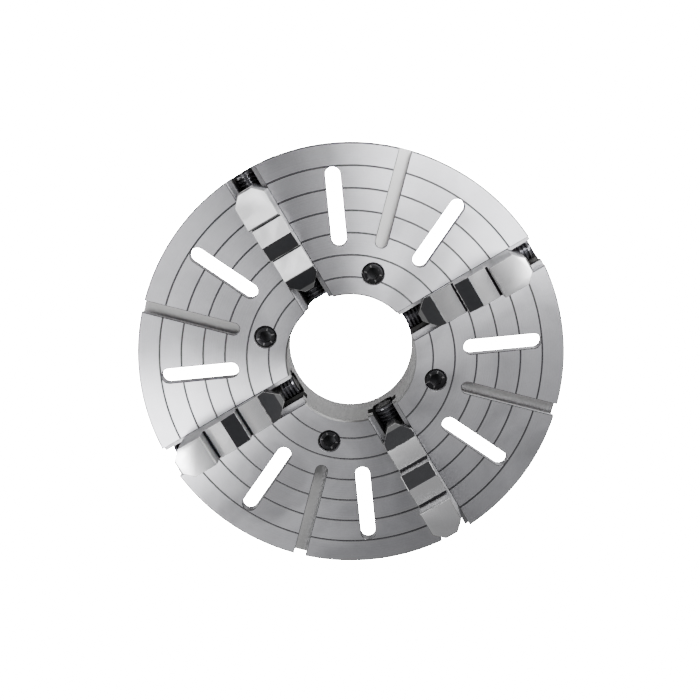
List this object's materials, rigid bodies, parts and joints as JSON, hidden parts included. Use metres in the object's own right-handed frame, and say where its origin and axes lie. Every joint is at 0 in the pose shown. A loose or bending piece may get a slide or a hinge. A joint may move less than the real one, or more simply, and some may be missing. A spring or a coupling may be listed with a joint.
{
  "type": "independent lathe chuck",
  "caption": "Round lathe chuck with a large bore, independent stepped jaws on operating screws, T-slots, through slots and ring grooves in its face.",
  "frame": {"origin": "centre of the locating register at the back face, on the spindle axis", "axes": "+Z along the spindle axis towards the work, +X along jaw 1"},
  "size_m": [0.63, 0.63, 0.209],
  "materials": {
    "cast_iron_body": "turned face with fine tool marks, cast back",
    "hardened_jaw": "ground steps, dark slopes left from heat treatment",
    "black_screw": "black oxide, oiled",
    "yoke_steel": "machined",
    "black_fastener": "black oxide, oiled"
  },
  "bodies": {
    "chuck": {"chuck_body": "cast_iron_body", "thrust_yoke_1": "yoke_steel", "yoke_screws_1": "black_fastener", "mounting_screw_1": "black_fastener", "thrust_yoke_2": "yoke_steel", "yoke_screws_2": "black_fastener", "mounting_screw_2": "black_fastener", "thrust_yoke_3": "yoke_steel", "yoke_screws_3": "black_fastener", "mounting_screw_3": "black_fastener", "thrust_yoke_4": "yoke_steel", "yoke_screws_4": "black_fastener", "mounting_screw_4": "black_fastener"},
    "jaw_1_slider": {"jaw_1": "hardened_jaw"},
    "jaw_screw_1_spindle": {"jaw_screw_1": "black_screw"},
    "jaw_2_slider": {"jaw_2": "hardened_jaw"},
    "jaw_screw_2_spindle": {"jaw_screw_2": "black_screw"},
    "jaw_3_slider": {"jaw_3": "hardened_jaw"},
    "jaw_screw_3_spindle": {"jaw_screw_3": "black_screw"},
    "jaw_4_slider": {"jaw_4": "hardened_jaw"},
    "jaw_screw_4_spindle": {"jaw_screw_4": "black_screw"}
  },
  "joints": [
    {"name": "screw_1_spin", "type": "hinge", "parent": "chuck", "child": "jaw_screw_1_spindle", "pos_m": [0.206, 0, 0.06], "axis": [1, 0, 0], "range_deg": [-5040, 1440]},
    {"name": "jaw_1_slide", "type": "slide", "parent": "chuck", "child": "jaw_1_slider", "axis": [1, 0, 0], "range_m": [-0.084, 0.024]},
    {"name": "screw_2_spin", "type": "hinge", "parent": "chuck", "child": "jaw_screw_2_spindle", "pos_m": [0, 0.206, 0.06], "axis": [0, 1, 0], "range_deg": [-5040, 1440]},
    {"name": "jaw_2_slide", "type": "slide", "parent": "chuck", "child": "jaw_2_slider", "axis": [0, 1, 0], "range_m": [-0.084, 0.024]},
    {"name": "screw_3_spin", "type": "hinge", "parent": "chuck", "child": "jaw_screw_3_spindle", "pos_m": [-0.206, 0, 0.06], "axis": [-1, 0, 0], "range_deg": [-5040, 1440]},
    {"name": "jaw_3_slide", "type": "slide", "parent": "chuck", "child": "jaw_3_slider", "axis": [-1, 0, 0], "range_m": [-0.084, 0.024]},
    {"name": "screw_4_spin", "type": "hinge", "parent": "chuck", "child": "jaw_screw_4_spindle", "pos_m": [0, -0.206, 0.06], "axis": [0, -1, 0], "range_deg": [-5040, 1440]},
    {"name": "jaw_4_slide", "type": "slide", "parent": "chuck", "child": "jaw_4_slider", "axis": [0, -1, 0], "range_m": [-0.084, 0.024]}
  ],
  "couplings": [
    {"joint": "screw_1_spin", "follows": "jaw_1_slide", "rad_per_m": 1047.2},
    {"joint": "screw_2_spin", "follows": "jaw_2_slide", "rad_per_m": 1047.2},
    {"joint": "screw_3_spin", "follows": "jaw_3_slide", "rad_per_m": 1047.2},
    {"joint": "screw_4_spin", "follows": "jaw_4_slide", "rad_per_m": 1047.2}
  ]
}
